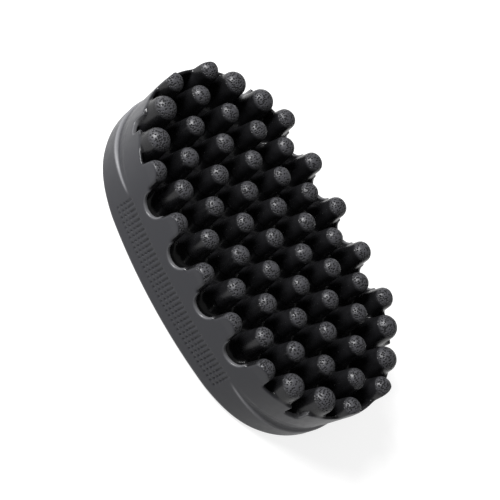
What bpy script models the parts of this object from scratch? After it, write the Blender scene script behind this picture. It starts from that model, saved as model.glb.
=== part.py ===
"""A one-hand rubber curry comb for horses: an oval back moulded with 59 massage fingers."""

import math

import bmesh
import bpy

# The comb lies on its back: X along the oval, Y across it, Z up from the resting face. Metres.

# Finger field
FINGER_SPACING = 0.0130  # nearest neighbours, along the diagonals of the square lattice
TIP_RADIUS = 0.00395
TIP_HEIGHT = 0.0233  # centre of a tip's ball over the resting face, at mid length
END_RISE = 0.0028  # how much higher the balls and the rim are at the outermost row
CORNER_SETBACK = 0.0024  # how far the last edge fingers move in from the straight column
FLOOR_HEIGHT = 0.0135  # moulded floor between the fingers
RIM_HEIGHT = 0.0165  # rim of the long sides between their fingers, at mid length
END_RIM_HEIGHT = 0.0205  # rim round the ends, before it rises with the balls
RIM_STEP_LENGTH = 0.005  # along the comb, where the rim climbs beside the edge columns' last fingers
LIP_THICKNESS = 0.0012
NOTCH_WIDTH = 0.0064  # gap in the high rim between the last fingers of columns b and c
NOTCH_FLOOR = 0.0174
ROOT_FLARE = 0.0012  # height and spread of the flare at a finger's root

# Back and side wall
SIDE_MARGIN = 0.0033  # wall outside the axes of the edge columns, at the height of the balls
END_MARGIN = 0.0018  # wall outside the axes of the last rows, at the same height
END_LEAN = 0.0018  # the ends lean out by this from the resting face to the balls
SIDE_DRAFT = 0.0023  # the long sides lean in by this
SIDE_BOW = 0.0020  # the long sides bulge by this over straight ones
LEDGE_HEIGHT = 0.0074
LEDGE_STEP = 0.0007  # the band under the ledge stands out by this at the ends
BACK_EDGE_RADIUS = 0.0015
PALM_RIM_WIDTH = 0.0085
PALM_RECESS_DEPTH = 0.0015

CLEARANCE = 0.0003  # between a finger's root and its neighbours

# Fineness
OUTLINE_POINTS = 120
FINGER_SIDES = 16
DOME_RINGS = 3

# The lattice, counted from the middle: letters name the columns, which run along the comb
COLUMN_LETTERS = "abcdefghi"
LAST_ROW = {"a": 4, "b": 5, "c": 6, "d": 7, "e": 6, "f": 7, "g": 6, "h": 5, "i": 4}
ROW_REACH = 7
COLUMN_REACH = 4
CORNER_REACH = 8  # rows plus columns from the middle to the fingers that ring the rounded ends
LATTICE_STEP = FINGER_SPACING / math.sqrt(2)  # between rows, and between columns

RUBBER_COLOUR = (0.012, 0.012, 0.014, 1.0)
RUBBER_ROUGHNESS = 0.42


def clear_scene():
    for thing in list(bpy.data.objects):
        bpy.data.objects.remove(thing, do_unlink=True)


def rubber(name):
    material = bpy.data.materials.new(name)
    material.use_nodes = True
    shader = material.node_tree.nodes["Principled BSDF"]
    shader.inputs["Base Color"].default_value = RUBBER_COLOUR
    shader.inputs["Roughness"].default_value = RUBBER_ROUGHNESS
    shader.inputs["Metallic"].default_value = 0.0
    material.diffuse_color = RUBBER_COLOUR
    return material


def add_object(name, mesh, material=None):
    thing = bpy.data.objects.new(name, mesh)
    bpy.context.scene.collection.objects.link(thing)
    if material:
        thing.data.materials.append(material)
    return thing


def make_helper(thing):
    thing.hide_render = True
    thing.display_type = "WIRE"


def half_sizes(height):
    """Half length and half width of the side wall at a height."""
    below_balls = 1 - height / TIP_HEIGHT
    half_length = ROW_REACH * LATTICE_STEP + END_MARGIN - END_LEAN * below_balls
    half_width = COLUMN_REACH * LATTICE_STEP + SIDE_MARGIN + SIDE_DRAFT * below_balls
    return half_length, half_width


def outline(half_length, half_width, grow=0.0, end_grow=0.0):
    """Points of the oval: round ends joined by long arcs, which bow out by SIDE_BOW.

    grow moves the whole outline out, and end_grow only the ends, fading out along the sides.
    """
    end_radius = half_width - SIDE_BOW
    end_centre = half_length - end_radius
    drop = (end_centre**2 - SIDE_BOW**2) / (2 * SIDE_BOW)  # centre of the long arc under the axis
    side_radius = half_width + drop
    join_angle = math.atan2(drop, end_centre)  # where the end arc meets the long arc
    quarter = OUTLINE_POINTS // 4
    end_steps = quarter * 3 // 4
    side_steps = quarter - end_steps
    angles = [(end_centre, 0.0, end_radius, join_angle * i / end_steps) for i in range(end_steps)]
    angles += [
        (0.0, -drop, side_radius, join_angle + (math.pi / 2 - join_angle) * i / side_steps)
        for i in range(side_steps)
    ]
    first = []
    for centre_x, centre_y, radius, angle in angles:
        reach = radius + grow + end_grow * max(0.0, math.cos(angle)) ** 0.7
        first.append((centre_x + reach * math.cos(angle), centre_y + reach * math.sin(angle)))
    top = (0.0, half_width + grow)
    right = first + [top]
    left = [(-x, y) for x, y in reversed(first)]
    upper = right + left
    lower = [(x, -y) for x, y in reversed(upper[1:-1])]
    return upper + lower


def end_rise(x):
    """The finger field rises gently towards both ends."""
    return END_RISE * (x / (ROW_REACH * LATTICE_STEP)) ** 2


def rim_height(x):
    """Low along the sides, higher from the edge columns' last fingers on, and rising with the balls."""
    climb = (abs(x) - LAST_ROW["a"] * LATTICE_STEP) / RIM_STEP_LENGTH + 0.5
    climb = min(1.0, max(0.0, climb))
    return RIM_HEIGHT + (END_RIM_HEIGHT - RIM_HEIGHT) * climb + end_rise(x)


def at_rim(points):
    return [(x, y, rim_height(x)) for x, y in points]


def level(points, height):
    return [(x, y, height) for x, y in points]


def bridge(mesh, lower, upper):
    """Side faces between two rings with the same number of points, facing out."""
    count = len(lower)
    for i in range(count):
        after = (i + 1) % count
        mesh.faces.new((lower[i], lower[after], upper[after], upper[i]))


def loft(name, rings):
    """A closed solid through rings of points, listed from the underside's middle out and up."""
    mesh = bmesh.new()
    loops = [[mesh.verts.new(point) for point in points] for points in rings]
    for lower, upper in zip(loops, loops[1:]):
        bridge(mesh, lower, upper)
    mesh.faces.new(list(reversed(loops[0])))
    mesh.faces.new(loops[-1])
    bmesh.ops.recalc_face_normals(mesh, faces=mesh.faces)
    data = bpy.data.meshes.new(name)
    mesh.to_mesh(data)
    mesh.free()
    return data


def hull_rings():
    """The comb's outer shape, from the palm recess round the resting face and up past the tips."""
    back = half_sizes(0.0)
    ledge = half_sizes(LEDGE_HEIGHT)
    crown_height = TIP_HEIGHT + END_RISE + 2 * TIP_RADIUS
    rings = [
        level(outline(*back, grow=-PALM_RIM_WIDTH - PALM_RECESS_DEPTH), PALM_RECESS_DEPTH),
        level(outline(*back, grow=-PALM_RIM_WIDTH), 0.0),
    ]
    for step in range(3):
        turn = math.pi / 4 * step
        inset = BACK_EDGE_RADIUS * (1 - math.sin(turn))
        height = BACK_EDGE_RADIUS * (1 - math.cos(turn))
        band = outline(*half_sizes(height), grow=-inset, end_grow=LEDGE_STEP)
        rings.append(level(band, height))
    rings.append(level(outline(*ledge, end_grow=LEDGE_STEP), LEDGE_HEIGHT - LEDGE_STEP / 2))
    rings.append(level(outline(*ledge), LEDGE_HEIGHT + LEDGE_STEP / 2))
    rings.append(level(outline(*half_sizes(crown_height)), crown_height))
    return rings


def tray_rings():
    """The stock inside the hull: full up to the rim, sunk to the floor inside the lip."""
    wall = half_sizes(RIM_HEIGHT)
    margin = 4 * LIP_THICKNESS
    bed_inset = LIP_THICKNESS + (RIM_HEIGHT - FLOOR_HEIGHT) / 2
    return [
        level(outline(*wall, grow=margin), -margin),
        at_rim(outline(*wall, grow=margin)),
        at_rim(outline(*wall, grow=-LIP_THICKNESS)),
        level(outline(*wall, grow=-bed_inset), FLOOR_HEIGHT),
    ]


def notch_rings(side_x, side_y):
    """A bar that runs out through the rim, midway between the last fingers of columns b and c."""
    across = COLUMN_REACH - 1.5
    middle_x = (CORNER_REACH - across) * LATTICE_STEP
    middle_y = across * LATTICE_STEP
    half = NOTCH_WIDTH / 2 * math.sqrt(0.5)
    reach = FINGER_SPACING
    points = [
        (side_x * (middle_x + out - aside), side_y * (middle_y + out + aside))
        for out, aside in ((0.0, -half), (reach, -half), (reach, half), (0.0, half))
    ]
    return [level(points, NOTCH_FLOOR), level(points, TIP_HEIGHT + END_RISE + TIP_RADIUS)]


def finger_profile(foot, ball, crowding):
    """(radius, height) from the foot's edge up to just under the top of a finger.

    The roots of neighbours all but meet, and from there a cone runs up to touch the ball.
    """
    foot_radius = (FINGER_SPACING - CLEARANCE) / 2 - crowding
    cone_radius = foot_radius - ROOT_FLARE
    cone_foot = foot + ROOT_FLARE
    below = ball - cone_foot
    taper = math.acos(TIP_RADIUS / math.hypot(cone_radius, below)) - math.atan2(below, cone_radius)
    points = [(foot_radius, foot), (cone_radius, cone_foot)]
    for step in range(DOME_RINGS):
        angle = taper + (math.pi / 2 - taper) * step / DOME_RINGS
        points.append((TIP_RADIUS * math.cos(angle), ball + TIP_RADIUS * math.sin(angle)))
    return points


def finger_mesh(name, foot, ball, crowding):
    """A round tapered finger with a ball tip and a flared root, standing on the Z axis."""
    mesh = bmesh.new()
    turns = [2 * math.pi * i / FINGER_SIDES for i in range(FINGER_SIDES)]
    loops = [
        [mesh.verts.new((radius * math.cos(turn), radius * math.sin(turn), height)) for turn in turns]
        for radius, height in finger_profile(foot, ball, crowding)
    ]
    for lower, upper in zip(loops, loops[1:]):
        bridge(mesh, lower, upper)
    mesh.faces.new(list(reversed(loops[0])))
    top = mesh.verts.new((0.0, 0.0, ball + TIP_RADIUS))
    for i in range(FINGER_SIDES):
        mesh.faces.new((loops[-1][i], loops[-1][(i + 1) % FINGER_SIDES], top))
    data = bpy.data.meshes.new(name)
    mesh.to_mesh(data)
    mesh.free()
    data.shade_smooth()
    data.set_sharp_from_angle(angle=math.radians(50))
    return data


def lattice():
    """Every finger as (name, whether the side wall cuts it or its root, x, y, crowding).

    crowding is how much less than FINGER_SPACING the nearest neighbour stands away.
    """
    for column, letter in enumerate(COLUMN_LETTERS):
        across = column - COLUMN_REACH
        last = LAST_ROW[letter]
        for along in range(-last, last + 1, 2):
            corner = abs(along) + abs(across) == CORNER_REACH
            side = abs(across) == COLUMN_REACH
            x = along * LATTICE_STEP
            y = across * LATTICE_STEP
            crowding = 0.0
            if corner and side:
                y -= math.copysign(CORNER_SETBACK, y)
                crowding = FINGER_SPACING - math.hypot(LATTICE_STEP, LATTICE_STEP - CORNER_SETBACK)
            yield f"finger_{letter}{(along + last) // 2 + 1}", corner or side, x, y, crowding


def make_finger(name, foot, x, y, crowding, material=None):
    ball = TIP_HEIGHT + end_rise(x)
    finger = add_object(name, finger_mesh(name, foot, ball, crowding), material)
    finger.location = (x, y, 0.0)
    return finger


def add_boolean(body, operation, other):
    modifier = body.modifiers.new(operation.title(), "BOOLEAN")
    modifier.operation = operation
    modifier.solver = "EXACT"
    if isinstance(other, bpy.types.Collection):
        modifier.operand_type = "COLLECTION"
        modifier.collection = other
    else:
        modifier.object = other


def make_body(material, edge_cores):
    """Back, side wall and the edge fingers that grow out of the wall, as one moulding."""
    hull = add_object("hull_shape", loft("hull_shape", hull_rings()))
    make_helper(hull)
    cores = bpy.data.collections.new("edge_cores")
    for core in edge_cores:
        make_helper(core)
        cores.objects.link(core)
    notches = bpy.data.collections.new("rim_notches")
    for side_x, side_y in ((1, 1), (1, -1), (-1, 1), (-1, -1)):
        notch = add_object("rim_notch", loft("rim_notch", notch_rings(side_x, side_y)))
        make_helper(notch)
        notches.objects.link(notch)
    body = add_object("rubber_body", loft("rubber_body", tray_rings()), material)
    add_boolean(body, "DIFFERENCE", notches)
    add_boolean(body, "UNION", cores)
    add_boolean(body, "INTERSECT", hull)
    body.data.shade_smooth()
    body.data.set_sharp_from_angle(angle=math.radians(35))
    return body


def main():
    clear_scene()
    material = rubber("black_rubber")
    fingers = []
    cores = []
    for name, in_wall, *place in lattice():
        if in_wall:
            cores.append(make_finger(f"{name}_core", FLOOR_HEIGHT - ROOT_FLARE / 2, *place))
        else:
            fingers.append(make_finger(name, FLOOR_HEIGHT + CLEARANCE, *place, material))
    body = make_body(material, cores)
    for finger in fingers:
        finger.parent = body


main()
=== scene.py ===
import math

import bmesh
import bpy
import numpy as np
from mathutils import Matrix, Vector


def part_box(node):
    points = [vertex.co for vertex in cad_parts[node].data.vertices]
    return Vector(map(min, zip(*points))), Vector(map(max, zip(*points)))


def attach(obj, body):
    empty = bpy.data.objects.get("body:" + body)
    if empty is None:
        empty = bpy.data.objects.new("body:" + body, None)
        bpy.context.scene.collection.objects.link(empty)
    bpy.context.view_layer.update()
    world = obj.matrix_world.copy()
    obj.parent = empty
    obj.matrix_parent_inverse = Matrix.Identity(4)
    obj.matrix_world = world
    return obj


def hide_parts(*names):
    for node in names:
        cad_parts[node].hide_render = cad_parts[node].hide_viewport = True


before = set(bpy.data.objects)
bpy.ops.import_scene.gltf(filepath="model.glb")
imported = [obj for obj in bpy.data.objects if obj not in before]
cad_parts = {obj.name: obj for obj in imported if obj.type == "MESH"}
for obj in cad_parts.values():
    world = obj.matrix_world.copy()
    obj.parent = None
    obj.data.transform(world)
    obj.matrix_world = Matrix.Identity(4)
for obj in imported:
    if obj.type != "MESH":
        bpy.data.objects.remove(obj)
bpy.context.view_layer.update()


# ---------------------------------------------------------------------------------------------
# Sizes, in millimetres. Places come from the frame's nodes.
# ---------------------------------------------------------------------------------------------
MM = 0.001
CELL = 0.4  # spacing of the sampling grid for the moulded body
GRID_START = -1.03  # the grid's lowest height
GRID_MARGIN = 1
SLOPE_STEP = 0.02  # for the field's slope, when the vertices settle onto the surface
SETTLE_ROUNDS = 3
STEEPNESS_FLOOR = 0.05  # keeps a vertex from leaping where the field is nearly flat

BALL_RADIUS = 3.95
FLOOR_HEIGHT = 12.8
ROOT_BLEND = 2.8  # how softly the fingers run into the floor
SADDLE_BLEND = 2.6  # and into each other
SEAM_HEIGHT = 17.6  # where a free finger's own piece takes over from its moulded root
SEAM_OVERLAP = 0.5
FOOT_INSET = 0.35  # a finger piece's hidden foot is this much narrower
FOOT_DROP = 0.25
SEAM_COVER = 0.012  # a finger piece is this much wider than its root, so that it shows
GAP_AT_ROOT = 0.15
ROOT_STANDOFF = 1.2  # the cones are this much narrower at their roots than half the spacing
ROOT_RISE = 1.5  # and that width is at this height over the floor
FINGER_SIDES = 44
SHAFT_RINGS = 7
CROWN_RINGS = 15

SIDE_BOW = 2.0
END_LEAN = 1.8
SIDE_DRAFT = 2.3
LIP_THICKNESS = 1.15
LIP_DRAFT = 0.13
LIP_ROUNDING = 0.5
LIP_BLEND = 1.1
EDGE_ROUNDING = 0.55
BACK_EDGE_RADIUS = 1.5
PALM_RIM_WIDTH = 8.5
PALM_RECESS_DEPTH = 1.5
PALM_EDGE_ROUNDING = 0.4

RIM_HEIGHT = 20.5  # of the lip between the edge fingers, before it rises with the balls
SCALLOP_RADIUS = 4.45  # round-bottomed gaps in the lip along the two long sides
SCALLOP_FLOOR = 16.45
SCALLOP_LEAN = 0.12
NOTCH_WIDTH = 6.2  # the smaller gaps at the four corners
NOTCH_FLOOR = 17.4
NOTCH_ROUNDING = 1.6
LONG_SIDE_FROM = 30  # the gaps and the grip band are further out across the comb than this
FAR_AWAY = 50

CORNER_SETBACK = 2.4  # how far the corner fingers of columns a and i stand further in
END_SETBACK = 1.8  # and the outermost fingers of columns d and f
EDGE_STRETCH = 0.7  # the edge columns' fingers reach out towards the wall by this
END_BALL_RADIUS = 4.6  # of the stouter fingers at the ends of columns b, c, g and h

LEDGE_STEP = 0.85
LEDGE_START = 34.5
LEDGE_RUN_IN = 19.0  # over this length the band below the ledge comes to its full step
LEDGE_LINE_RUN_IN = 5.0
LEDGE_HIGH = 12.0
LEDGE_LOW = 4.9
LEDGE_SAG = 0.85
LEDGE_SOFTNESS = 0.35
COVE_TOP = 13.0
COVE_END_DROP = 0.8
COVE_RUN_IN = 0.5
COVE_SOFTNESS = 0.3
COVE_DEPTH = 0.22
MOULD_LINES = (1.0, 2.0)  # heights over the ledge
MOULD_LINE_DEPTH = 0.12
MOULD_LINE_WIDTH = 0.18

GRIP_HALF_LENGTH = 34.2
GRIP_PITCH = 1.8
GRIP_DEPTH = 0.45
GRIP_ROWS = ((9.9, 12.3, 0.36), (8.6, 8.6, 0.42), (6.9, 6.9, 0.42), (5.1, 5.1, 0.42))
GRIP_SOFTNESS = 0.2

# How bright, and how wide, the painted highlights along the ledge and the gaps' edges are.
LEDGE_LINE = 0.8
LEDGE_LINE_WIDTH = 0.38
LEDGE_LINE_DROP = 0.1
GAP_LINE = 0.45
GAP_LINE_WIDTH = 0.3
LINES_PART_AT = 15  # the ledge's line is below this height, the gaps' lines above it

# Where the looks change, as levels of the field or of the height between which they fade.
OUTER_DEPTHS = (-0.45, -0.1)
BACK_DEPTHS = (-2.5, -1.8)
LINE_DEPTHS = (-1.9, -1.2)
CROWN_HEIGHTS = (0.25 * BALL_RADIUS, 0.62 * BALL_RADIUS)
CROWN_REACH = 1.3

# ---------------------------------------------------------------------------------------------
# The lattice of fingers, read from the frame
# ---------------------------------------------------------------------------------------------
COLUMN_LETTERS = "abcdefghi"
LAST_ROW = dict(zip(COLUMN_LETTERS, (4, 5, 6, 7, 6, 7, 6, 5, 4)))
FREE_FINGERS = sorted(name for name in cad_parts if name.startswith("finger_"))


def node_middle(name):
    low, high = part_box(name)
    return (low + high) / 2 / MM


STEP = (node_middle("finger_e5") - node_middle("finger_e4")).x / 2
body_low, body_high = (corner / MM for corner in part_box("rubber_body"))
middle_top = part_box("finger_e4")[1].z / MM
BALL_HEIGHT = middle_top - BALL_RADIUS
END_RISE = body_high.z - middle_top
HALF_LENGTH = body_high.x - 0.02
HALF_WIDTH = body_high.y - SIDE_DRAFT + 0.1


def end_rise(x):
    return END_RISE * (x / (7 * STEP)) ** 2


def lattice():
    """Every finger as (name, x, y, ball radius, how far it reaches out across the comb)."""
    for column, letter in enumerate(COLUMN_LETTERS):
        across = column - 4
        last = LAST_ROW[letter]
        for along in range(-last, last + 1, 2):
            y = across * STEP
            edge = abs(across) == 4
            if edge and abs(along) == 4:
                y -= math.copysign(CORNER_SETBACK, y)
            stout = abs(along) == last and abs(across) in (2, 3)
            radius = END_BALL_RADIUS if stout else BALL_RADIUS
            x = along * STEP
            if abs(along) == 7:
                x -= math.copysign(END_SETBACK, x)
            name = f"finger_{letter}{(along + last) // 2 + 1}"
            yield name, x, y, radius, math.copysign(EDGE_STRETCH * edge, y)


FINGERS = list(lattice())
GRIP_COUNT = round(GRIP_HALF_LENGTH / GRIP_PITCH) - 0.5

# ---------------------------------------------------------------------------------------------
# The moulding as a distance-like field: negative inside the rubber
# ---------------------------------------------------------------------------------------------


def smooth_min(a, b, blend):
    mix = np.clip(0.5 + 0.5 * (b - a) / blend, 0, 1)
    return b + (a - b) * mix - blend * mix * (1 - mix)


def smooth_max(a, b, blend):
    return -smooth_min(-a, -b, blend)


def rounded_max(a, b, radius):
    """Intersection of two half spaces with a true fillet of that radius."""
    outside = np.hypot(np.maximum(a + radius, 0), np.maximum(b + radius, 0))
    return np.minimum(np.maximum(a, b), -radius) + outside


def smooth_step(value, start, end):
    t = np.clip((value - start) / (end - start), 0, 1)
    return t * t * (3 - 2 * t)


def ridge(value, width):
    """1 where the value is 0, falling off over that width."""
    return np.exp(-((value / width) ** 2))


def outline_distance(x, y, half_length, half_width):
    """Signed distance in plan to the oval of two round ends and two long bowed sides."""
    end_radius = half_width - SIDE_BOW
    end_centre = half_length - end_radius
    drop = (end_centre**2 - SIDE_BOW**2) / (2 * SIDE_BOW)
    ax, ay = np.abs(x), np.abs(y)
    to_end = np.hypot(ax - end_centre, ay) - end_radius
    to_side = np.hypot(ax, ay + drop) - (half_width + drop)
    return np.where((ay + drop) * end_centre > ax * drop, to_side, to_end)


def half_sizes(z):
    below = 1 - np.minimum(z, BALL_HEIGHT) / BALL_HEIGHT
    return HALF_LENGTH - END_LEAN * below, HALF_WIDTH + SIDE_DRAFT * below


def ledge_height(x):
    """The ledge starts high beside the grip band and sinks round the ends."""
    t = np.clip((np.abs(x) - LEDGE_START) / (HALF_LENGTH - LEDGE_START), 0, 1)
    return LEDGE_LOW + (LEDGE_HIGH - LEDGE_LOW) * (1 - t) ** LEDGE_SAG


def ledge_share(x, run_in=LEDGE_RUN_IN):
    return smooth_step(np.abs(x), LEDGE_START, LEDGE_START + run_in)


def grip_share(x, z):
    """1 at the bottom of the grip band's dashes and dots, 0 on the plain wall."""
    aside = x - GRIP_PITCH * np.clip(np.round(x / GRIP_PITCH - 0.5) + 0.5, -GRIP_COUNT, GRIP_COUNT)
    share = 0
    for low, high, radius in GRIP_ROWS:
        far = np.hypot(aside, z - np.clip(z, low, high))
        share = np.maximum(share, smooth_step(radius + GRIP_SOFTNESS - far, 0, 2 * GRIP_SOFTNESS))
    return share


def wall_distance(x, y, z):
    """To the outer side wall, with its ledge, the cove over it and two fine mould lines."""
    wall = outline_distance(x, y, *half_sizes(z))
    endness = ledge_share(x)
    ledge = ledge_height(x)
    under = smooth_step(ledge - z, -LEDGE_SOFTNESS, LEDGE_SOFTNESS)
    to_cove_top = COVE_TOP - COVE_END_DROP * endness - z
    cove = smooth_step(z, ledge, ledge + COVE_RUN_IN)
    cove = cove * smooth_step(to_cove_top, -COVE_SOFTNESS, COVE_SOFTNESS)
    wall = wall - LEDGE_STEP * endness * under + COVE_DEPTH * endness * cove
    for line in MOULD_LINES:
        wall = wall + MOULD_LINE_DEPTH * endness * ridge(z - ledge - line, MOULD_LINE_WIDTH)
    return wall + GRIP_DEPTH * grip_share(x, z) * (np.abs(y) > LONG_SIDE_FROM)


def finger_distance(aside, height, radius):
    """A ball on a cone that is tangent to it. The height is over the ball's centre."""
    along = height * COS_TAPER - aside * SIN_TAPER
    ball = np.hypot(aside, height) - radius
    cone = aside * COS_TAPER + height * SIN_TAPER - radius
    return np.where(along > 0, ball, cone)


def finger_field(x, y, z):
    """The roots of the free fingers and the whole edge fingers, blended into each other."""
    field = np.full(np.broadcast(x, y, z).shape, 1e3)
    for name, cx, cy, radius, reach in FINGERS:
        dy = y - cy
        dy = dy - np.clip(dy, min(reach, 0), max(reach, 0))
        one = finger_distance(np.hypot(x - cx, dy), z - BALL_HEIGHT - end_rise(cx), radius)
        if name in FREE_FINGERS:
            one = np.maximum(one, z - SEAM_HEIGHT)
        field = smooth_min(field, one, SADDLE_BLEND)
    return field


def scallop(x, z):
    """Negative inside the round-bottomed gaps between the fingers of the long sides."""
    aside = np.minimum(np.abs(np.abs(x) - STEP), np.abs(np.abs(x) - 3 * STEP))
    up = z - SCALLOP_FLOOR - SCALLOP_RADIUS
    straight = aside - SCALLOP_RADIUS - SCALLOP_LEAN * up
    return np.where(up > 0, straight, np.hypot(aside, up) - SCALLOP_RADIUS)


def corner_notch(x, y, z):
    """Negative inside the gaps in the rim between the last fingers of columns b and c."""
    dx = np.abs(x) - 5.5 * STEP
    dy = np.abs(y) - 2.5 * STEP
    aside = np.abs(dx - dy) * math.sqrt(0.5)
    inward = -(dx + dy) * math.sqrt(0.5)
    gap = rounded_max(aside - NOTCH_WIDTH / 2, NOTCH_FLOOR - z, NOTCH_ROUNDING)
    return np.maximum(gap, inward)


def side_gaps(x, y, z):
    """Negative inside the gaps of the two long sides, large everywhere else."""
    along_side = smooth_step(np.abs(y) - LONG_SIDE_FROM, 0, 1) * (np.abs(x) < 4 * STEP)
    return scallop(x, z) + FAR_AWAY * (1 - along_side)


def body_field(x, y, z):
    wall = wall_distance(x, y, z)
    rim = z - RIM_HEIGHT - end_rise(x)
    lip = -(wall + LIP_THICKNESS + LIP_DRAFT * np.maximum(-rim, 0))
    for cut in (rim, -side_gaps(x, y, z), -corner_notch(x, y, z)):
        lip = smooth_max(lip, cut, LIP_ROUNDING)
    fingers = finger_field(x, y, z)
    top = smooth_min(fingers, z - FLOOR_HEIGHT, ROOT_BLEND)
    top = smooth_min(top, lip, LIP_BLEND)
    shell = rounded_max(wall, -z, BACK_EDGE_RADIUS)
    body = smooth_max(top, shell, EDGE_ROUNDING)
    back = outline_distance(x, y, *half_sizes(0.0)) + PALM_RIM_WIDTH
    recess = np.maximum(z - PALM_RECESS_DEPTH, (back + z) * math.sqrt(0.5))
    return smooth_max(body, -recess, PALM_EDGE_ROUNDING)


def cone_taper():
    """The cone's half angle, from the root radius that leaves neighbours nearly touching."""
    root_radius = STEP * math.sqrt(2) / 2 - GAP_AT_ROOT - ROOT_STANDOFF
    below = BALL_HEIGHT - FLOOR_HEIGHT - ROOT_RISE
    return math.acos(BALL_RADIUS / math.hypot(root_radius, below)) - math.atan2(below, root_radius)


TAPER = cone_taper()
COS_TAPER = math.cos(TAPER)
SIN_TAPER = math.sin(TAPER)


def surface_mesh(field, low, high, cell):
    """Vertices and quads where the field is zero: one vertex in each cell that the surface crosses.

    The field is sampled over one quarter and mirrored in x and y."""
    counts = [int(math.ceil((b - a) / cell)) + 1 for a, b in zip(low, high)]
    axes = [a + cell * np.arange(n) for a, n in zip(low, counts)]
    values = field(axes[0][:, None, None], axes[1][None, :, None], axes[2][None, None, :])
    values = np.concatenate([values[:0:-1], values], axis=0)
    values = np.concatenate([values[:, :0:-1], values], axis=1)
    start = np.array([-axes[0][-1], -axes[1][-1], low[2]])
    inside = values < 0
    shape = [n - 1 for n in values.shape]
    mixed = np.zeros(shape, bool)
    corners = [(i, j, k) for i in (0, 1) for j in (0, 1) for k in (0, 1)]
    first = inside[:-1, :-1, :-1]
    for i, j, k in corners[1:]:
        mixed |= inside[i : i + shape[0], j : j + shape[1], k : k + shape[2]] != first
    index = np.full(shape, -1, np.int64)
    cells = np.argwhere(mixed)
    index[mixed] = np.arange(len(cells))
    total = np.zeros((len(cells), 3))
    hits = np.zeros(len(cells))
    for a in range(len(corners)):
        for b in range(a + 1, len(corners)):
            p, q = np.array(corners[a]), np.array(corners[b])
            if np.abs(p - q).sum() != 1:
                continue
            va = values[tuple((cells + p).T)]
            vb = values[tuple((cells + q).T)]
            cross = (va < 0) != (vb < 0)
            t = np.where(cross, va / np.where(cross, va - vb, 1), 0)
            total += cross[:, None] * (p + t[:, None] * (q - p))
            hits += cross
    points = start + cell * (cells + total / hits[:, None])
    quads = []
    for axis in range(3):
        u, v = [(1, 2), (2, 0), (0, 1)][axis]
        lower = [slice(None)] * 3
        upper = [slice(None)] * 3
        lower[axis] = slice(0, -1)
        upper[axis] = slice(1, None)
        change = inside[tuple(lower)] != inside[tuple(upper)]
        edges = np.argwhere(change)
        edges = edges[(edges[:, u] > 0) & (edges[:, v] > 0)]
        edges = edges[(edges[:, u] < shape[u]) & (edges[:, v] < shape[v])]
        du = np.eye(3, dtype=int)[u]
        dv = np.eye(3, dtype=int)[v]
        loop = [edges - du - dv, edges - dv, edges, edges - du]
        faces = np.stack([index[tuple(c.T)] for c in loop], axis=1)
        flip = ~inside[tuple(edges.T)]
        faces[flip] = faces[flip][:, ::-1]
        quads.append(faces)
    return points, np.concatenate(quads)


def settle(points, field, cell):
    """Moves each vertex onto the zero surface along the field's slope."""
    h = SLOPE_STEP
    for _ in range(SETTLE_ROUNDS):
        x, y, z = points.T
        here = field(x, y, z)
        slope = np.stack(
            [
                field(x + h, y, z) - field(x - h, y, z),
                field(x, y + h, z) - field(x, y - h, z),
                field(x, y, z + h) - field(x, y, z - h),
            ],
            axis=1,
        ) / (2 * h)
        size = np.maximum((slope**2).sum(1), STEEPNESS_FLOOR)
        shift = -(here / size)[:, None] * slope
        length = np.linalg.norm(shift, axis=1)
        shift *= np.minimum(1, 0.5 * cell / np.maximum(length, 1e-9))[:, None]
        points = points + shift
    return points


def mesh_object(name, points, faces):
    mesh = bpy.data.meshes.new(name)
    mesh.from_pydata(points * MM, [], faces)
    mesh.shade_smooth()
    thing = bpy.data.objects.new(name, mesh)
    bpy.context.scene.collection.objects.link(thing)
    return thing


def set_attribute(thing, name, values):
    layer = thing.data.attributes.new(name, "FLOAT", "POINT")
    layer.data.foreach_set("value", np.asarray(values, np.float32))


def crown_share(height):
    """1 on a ball's crown, 0 under it, from the height over the ball's centre."""
    return smooth_step(height, *CROWN_HEIGHTS)


def make_body():
    reach = (HALF_LENGTH, HALF_WIDTH + SIDE_DRAFT, BALL_HEIGHT + END_RISE + BALL_RADIUS)
    high = [number + GRID_MARGIN for number in reach]
    points, faces = surface_mesh(body_field, (0, 0, GRID_START), high, CELL)
    points = settle(points, body_field, CELL)
    points[:, 2] = np.maximum(points[:, 2], 0)
    body = mesh_object("moulded_body", points, faces.tolist())
    x, y, z = points.T
    crown = np.zeros(len(points))
    for name, cx, cy, radius, _ in FINGERS:
        if name not in FREE_FINGERS:
            near = np.hypot(x - cx, y - cy) < radius * CROWN_REACH
            crown = np.maximum(crown, near * crown_share(z - BALL_HEIGHT - end_rise(cx)))
    wall = wall_distance(x, y, z)
    outer = np.maximum(smooth_step(wall, *OUTER_DEPTHS), smooth_step(-z, *BACK_DEPTHS))
    # Painted highlights: bright lines painted into the colour along the ledge and along the edges of the
    # gaps in the lip.
    ledge_line = LEDGE_LINE * ridge(z - ledge_height(x) + LEDGE_LINE_DROP, LEDGE_LINE_WIDTH)
    ledge_line = ledge_line * (z < LINES_PART_AT) * ledge_share(x, LEDGE_LINE_RUN_IN)
    gap = np.minimum(side_gaps(x, y, z), corner_notch(x, y, z))
    gap_line = GAP_LINE * ridge(gap, GAP_LINE_WIDTH) * (z > LINES_PART_AT)
    set_attribute(body, "crown", crown * (1 - outer))
    set_attribute(body, "outer", outer)
    set_attribute(body, "edge", np.maximum(ledge_line, gap_line) * smooth_step(wall, *LINE_DEPTHS))
    return body


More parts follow.
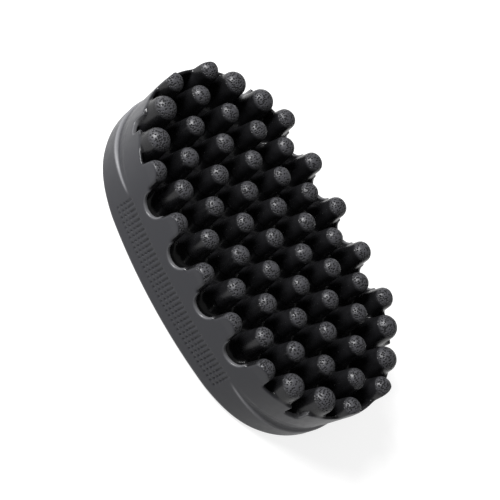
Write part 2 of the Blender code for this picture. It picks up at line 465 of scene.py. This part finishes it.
def make_finger(name):
    """One free finger from the seam up, a closed solid turned about its own axis."""
    low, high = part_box(name)
    middle = (low + high) / 2 / MM
    ball = high.z / MM - BALL_RADIUS
    foot = SEAM_HEIGHT - SEAM_OVERLAP

    def cone_radius(z):
        return (BALL_RADIUS - (z - ball) * SIN_TAPER) / COS_TAPER

    tangent = ball + BALL_RADIUS * SIN_TAPER
    heights = [foot + (tangent - foot) * i / SHAFT_RINGS for i in range(SHAFT_RINGS)]
    profile = [(cone_radius(foot) - FOOT_INSET, foot - FOOT_DROP)]
    profile += [(cone_radius(z) + SEAM_COVER, z) for z in heights]
    for i in range(CROWN_RINGS):
        angle = TAPER + (math.pi / 2 - TAPER) * i / CROWN_RINGS
        profile.append((BALL_RADIUS * math.cos(angle), ball + BALL_RADIUS * math.sin(angle)))
    turns = 2 * math.pi * np.arange(FINGER_SIDES) / FINGER_SIDES
    rings = []
    for radius, z in profile:
        ring = (middle.x + radius * np.cos(turns), middle.y + radius * np.sin(turns), np.full_like(turns, z))
        rings.append(np.stack(ring, 1))
    top = np.array([[middle.x, middle.y, ball + BALL_RADIUS]])
    points = np.concatenate(rings + [top])
    faces = [tuple(reversed(range(FINGER_SIDES)))]
    for ring in range(len(rings) - 1):
        base = ring * FINGER_SIDES
        above = base + FINGER_SIDES
        for i in range(FINGER_SIDES):
            after = (i + 1) % FINGER_SIDES
            faces.append((base + i, base + after, above + after, above + i))
    last = (len(rings) - 1) * FINGER_SIDES
    for i in range(FINGER_SIDES):
        faces.append((last + i, last + (i + 1) % FINGER_SIDES, len(points) - 1))
    finger = mesh_object(name.replace("finger", "tip"), points, faces)
    set_attribute(finger, "crown", crown_share(points[:, 2] - ball))
    for layer in ("outer", "edge"):
        set_attribute(finger, layer, np.zeros(len(points)))
    return finger


# ---------------------------------------------------------------------------------------------
# Rubber
# ---------------------------------------------------------------------------------------------
DARK_RUBBER = (0.0045, 0.0045, 0.005, 1)
PALE_RUBBER = (0.0085, 0.0085, 0.0095, 1)
WALL_COLOUR = (0.0125, 0.0128, 0.0158, 1)
CROWN_COLOUR = (0.034, 0.034, 0.038, 1)
# Painted shade in the dimples of the crowns.
DIMPLE_SHADE_COLOUR = (0.001, 0.001, 0.0015, 1)
# Painted highlight colour for the lines along the ledge and the gaps' edges.
EDGE_HIGHLIGHT_COLOUR = (0.15, 0.15, 0.158, 1)
SPECULAR_LEVEL = 0.28
SHAFT_ROUGHNESS = 0.27
CROWN_ROUGHNESS = 0.4
WALL_EXTRA_ROUGHNESS = 0.12
DIMPLE_EXTRA_ROUGHNESS = 0.4
# Noise scales are in cycles per metre.
TINT_SCALE = 260
WEAR_SCALE = 420
GRAIN_SCALE = 5200
SWELL_SCALE = 160
DIMPLE_SCALE = 1320
DIMPLE_SCATTER = 0.75
DIMPLE_DEPTH = 2.5  # these three are in units of BUMP_HEIGHT
GRAIN_DEPTH = 0.1
SWELL_DEPTH = 0.35
BUMP_HEIGHT = 0.00012


class Nodes:
    """Short ways to add the nodes that the rubber is made of."""

    def __init__(self, material):
        material.use_nodes = True
        self.tree = material.node_tree
        self.shader = self.tree.nodes["Principled BSDF"]
        self.place = self.tree.nodes.new("ShaderNodeTexCoord").outputs["Object"]

    def feed(self, socket, value):
        """Links an output to a socket, or sets a plain number or colour on it."""
        if isinstance(value, bpy.types.NodeSocket):
            self.tree.links.new(value, socket)
        else:
            socket.default_value = value

    def node(self, kind, output, **values):
        """Adds a node, fills its sockets by name and returns one of its outputs."""
        node = self.tree.nodes.new(kind)
        for socket, value in values.items():
            self.feed(node.inputs[socket], value)
        return node.outputs[output]

    def attribute(self, label):
        node = self.tree.nodes.new("ShaderNodeAttribute")
        node.attribute_name = label
        return node.outputs["Fac"]

    def noise(self, scale, detail):
        return self.node("ShaderNodeTexNoise", "Fac", Vector=self.place, Scale=scale, Detail=detail)

    def spread(self, value, low, high, to_low, to_high):
        node = self.tree.nodes.new("ShaderNodeMapRange")
        for socket, number in zip(node.inputs, (value, low, high, to_low, to_high)):
            self.feed(socket, number)
        return node.outputs["Result"]

    def math(self, operation, first, second):
        node = self.tree.nodes.new("ShaderNodeMath")
        node.operation = operation
        self.feed(node.inputs[0], first)
        self.feed(node.inputs[1], second)
        return node.outputs["Value"]

    def mix(self, share, first, second):
        node = self.tree.nodes.new("ShaderNodeMix")
        node.data_type = "RGBA"
        self.feed(node.inputs["Factor"], share)
        self.feed(node.inputs["A"], first)
        self.feed(node.inputs["B"], second)
        return node.outputs["Result"]


def rubber(name):
    """Black rubber: glossy shafts and pits, dimpled crowns with painted shade in the dimples, a satin wall,
    painted highlights along the ledge and the gaps' edges.
    """
    material = bpy.data.materials.new(name)
    nodes = Nodes(material)
    shader = nodes.shader
    crown = nodes.attribute("crown")
    outer = nodes.attribute("outer")
    scatter = {"Vector": nodes.place, "Scale": DIMPLE_SCALE, "Randomness": DIMPLE_SCATTER}
    cells = nodes.node("ShaderNodeTexVoronoi", "Distance", **scatter)
    dimple = nodes.math("MULTIPLY", nodes.spread(cells, 0.3, 0.5, 1, 0), crown)

    patches = nodes.spread(nodes.noise(TINT_SCALE, 5), 0.35, 0.7, 0, 1)
    colour = nodes.mix(patches, DARK_RUBBER, PALE_RUBBER)
    colour = nodes.mix(outer, colour, WALL_COLOUR)
    colour = nodes.mix(crown, colour, CROWN_COLOUR)
    # Painted shade: the dimples are darkened in the colour.
    colour = nodes.mix(dimple, colour, DIMPLE_SHADE_COLOUR)
    # Painted highlight along the ledge and the gaps' edges.
    colour = nodes.mix(nodes.attribute("edge"), colour, EDGE_HIGHLIGHT_COLOUR)
    nodes.feed(shader.inputs["Base Color"], colour)
    nodes.feed(shader.inputs["Specular IOR Level"], SPECULAR_LEVEL)

    rough = nodes.spread(nodes.noise(WEAR_SCALE, 4), 0.3, 0.75, -0.04, 0.05)
    for extra in (
        nodes.spread(crown, 0, 1, SHAFT_ROUGHNESS, CROWN_ROUGHNESS),
        nodes.spread(outer, 0, 1, 0, WALL_EXTRA_ROUGHNESS),
        nodes.math("MULTIPLY", dimple, DIMPLE_EXTRA_ROUGHNESS),
    ):
        rough = nodes.math("ADD", rough, extra)
    nodes.feed(shader.inputs["Roughness"], rough)

    height = nodes.math("MULTIPLY", dimple, -DIMPLE_DEPTH)
    for scale, detail, depth in ((GRAIN_SCALE, 2, GRAIN_DEPTH), (SWELL_SCALE, 1, SWELL_DEPTH)):
        height = nodes.math("ADD", height, nodes.math("MULTIPLY", nodes.noise(scale, detail), depth))
    bump = nodes.node("ShaderNodeBump", "Normal", Strength=1.0, Distance=BUMP_HEIGHT, Height=height)
    nodes.feed(shader.inputs["Normal"], bump)
    return material


black_rubber = rubber("moulded_black_rubber")

body = make_body()
body.data.materials.append(black_rubber)
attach(body, "root")
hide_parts("rubber_body")

for name in FREE_FINGERS:
    finger = make_finger(name)
    finger.data.materials.append(black_rubber)
    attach(finger, "root")
    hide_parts(name)

# ---------------------------------------------------------------------------------------------
# Floor, light and camera, in metres
# ---------------------------------------------------------------------------------------------
FLOOR_HALF_SIZE = 1.6
FLOOR_DROP = 0.0004
FLOOR_COLOUR = (0.3, 0.3, 0.3, 1)
FLOOR_GLOW = 0.8  # the paper is lit from below, so that it stays white round the comb
SKY_STRENGTH = 0.34
KEY_DIRECTION = (-0.69, -0.40, 0.62)
KEY_DISTANCE = 0.9
KEY_SIZE = 0.46
KEY_POWER = 20
CAMERA_PLACE = (0.0156, -0.34412, 0.34792)
CAMERA_AZIMUTH = -2.734
CAMERA_ELEVATION = 44.31
CAMERA_ROLL = 59.48
CAMERA_LENS = 99.28
SENSOR_WIDTH = 36
WHITE = (1, 1, 1, 1)


def make_floor():
    data = bmesh.new()
    bmesh.ops.create_grid(data, x_segments=8, y_segments=8, size=FLOOR_HALF_SIZE)
    mesh = bpy.data.meshes.new("floor")
    data.to_mesh(mesh)
    data.free()
    floor = bpy.data.objects.new("floor", mesh)
    bpy.context.scene.collection.objects.link(floor)
    floor.location.z = -FLOOR_DROP
    paper = bpy.data.materials.new("white_paper")
    paper.use_nodes = True
    shader = paper.node_tree.nodes["Principled BSDF"]
    shader.inputs["Base Color"].default_value = FLOOR_COLOUR
    shader.inputs["Roughness"].default_value = 0.9
    shader.inputs["Emission Color"].default_value = WHITE
    shader.inputs["Emission Strength"].default_value = FLOOR_GLOW
    mesh.materials.append(paper)


def make_light():
    world = bpy.data.worlds.new("studio")
    bpy.context.scene.world = world
    world.use_nodes = True
    sky = world.node_tree.nodes["Background"]
    sky.inputs["Color"].default_value = WHITE
    sky.inputs["Strength"].default_value = SKY_STRENGTH
    data = bpy.data.lights.new("key", "AREA")
    data.shape = "DISK"
    data.size = KEY_SIZE
    data.energy = KEY_POWER
    lamp = bpy.data.objects.new("key", data)
    bpy.context.scene.collection.objects.link(lamp)
    towards = Vector(KEY_DIRECTION).normalized()
    lamp.location = towards * KEY_DISTANCE
    lamp.rotation_euler = towards.to_track_quat("Z", "Y").to_euler()


def make_camera():
    """Looks down at the comb from its near side, rolled so that the oval runs down the frame."""
    azimuth = math.radians(CAMERA_AZIMUTH)
    elevation = math.radians(CAMERA_ELEVATION)
    roll = math.radians(CAMERA_ROLL)
    data = bpy.data.cameras.new("camera")
    data.lens = CAMERA_LENS
    data.sensor_width = SENSOR_WIDTH
    camera = bpy.data.objects.new("camera", data)
    bpy.context.scene.collection.objects.link(camera)
    level_part = math.cos(elevation)
    forward = Vector(
        (math.sin(azimuth) * level_part, math.cos(azimuth) * level_part, -math.sin(elevation))
    )
    level = forward.cross(Vector((0, 0, 1))).normalized()
    upright = level.cross(forward)
    right = level * math.cos(roll) + upright * math.sin(roll)
    up = right.cross(forward)
    turn = Matrix((right, up, -forward)).transposed()
    camera.matrix_world = Matrix.Translation(CAMERA_PLACE) @ turn.to_4x4()
    bpy.context.scene.camera = camera


make_floor()
make_light()
make_camera()
bpy.context.scene.view_settings.view_transform = "Standard"
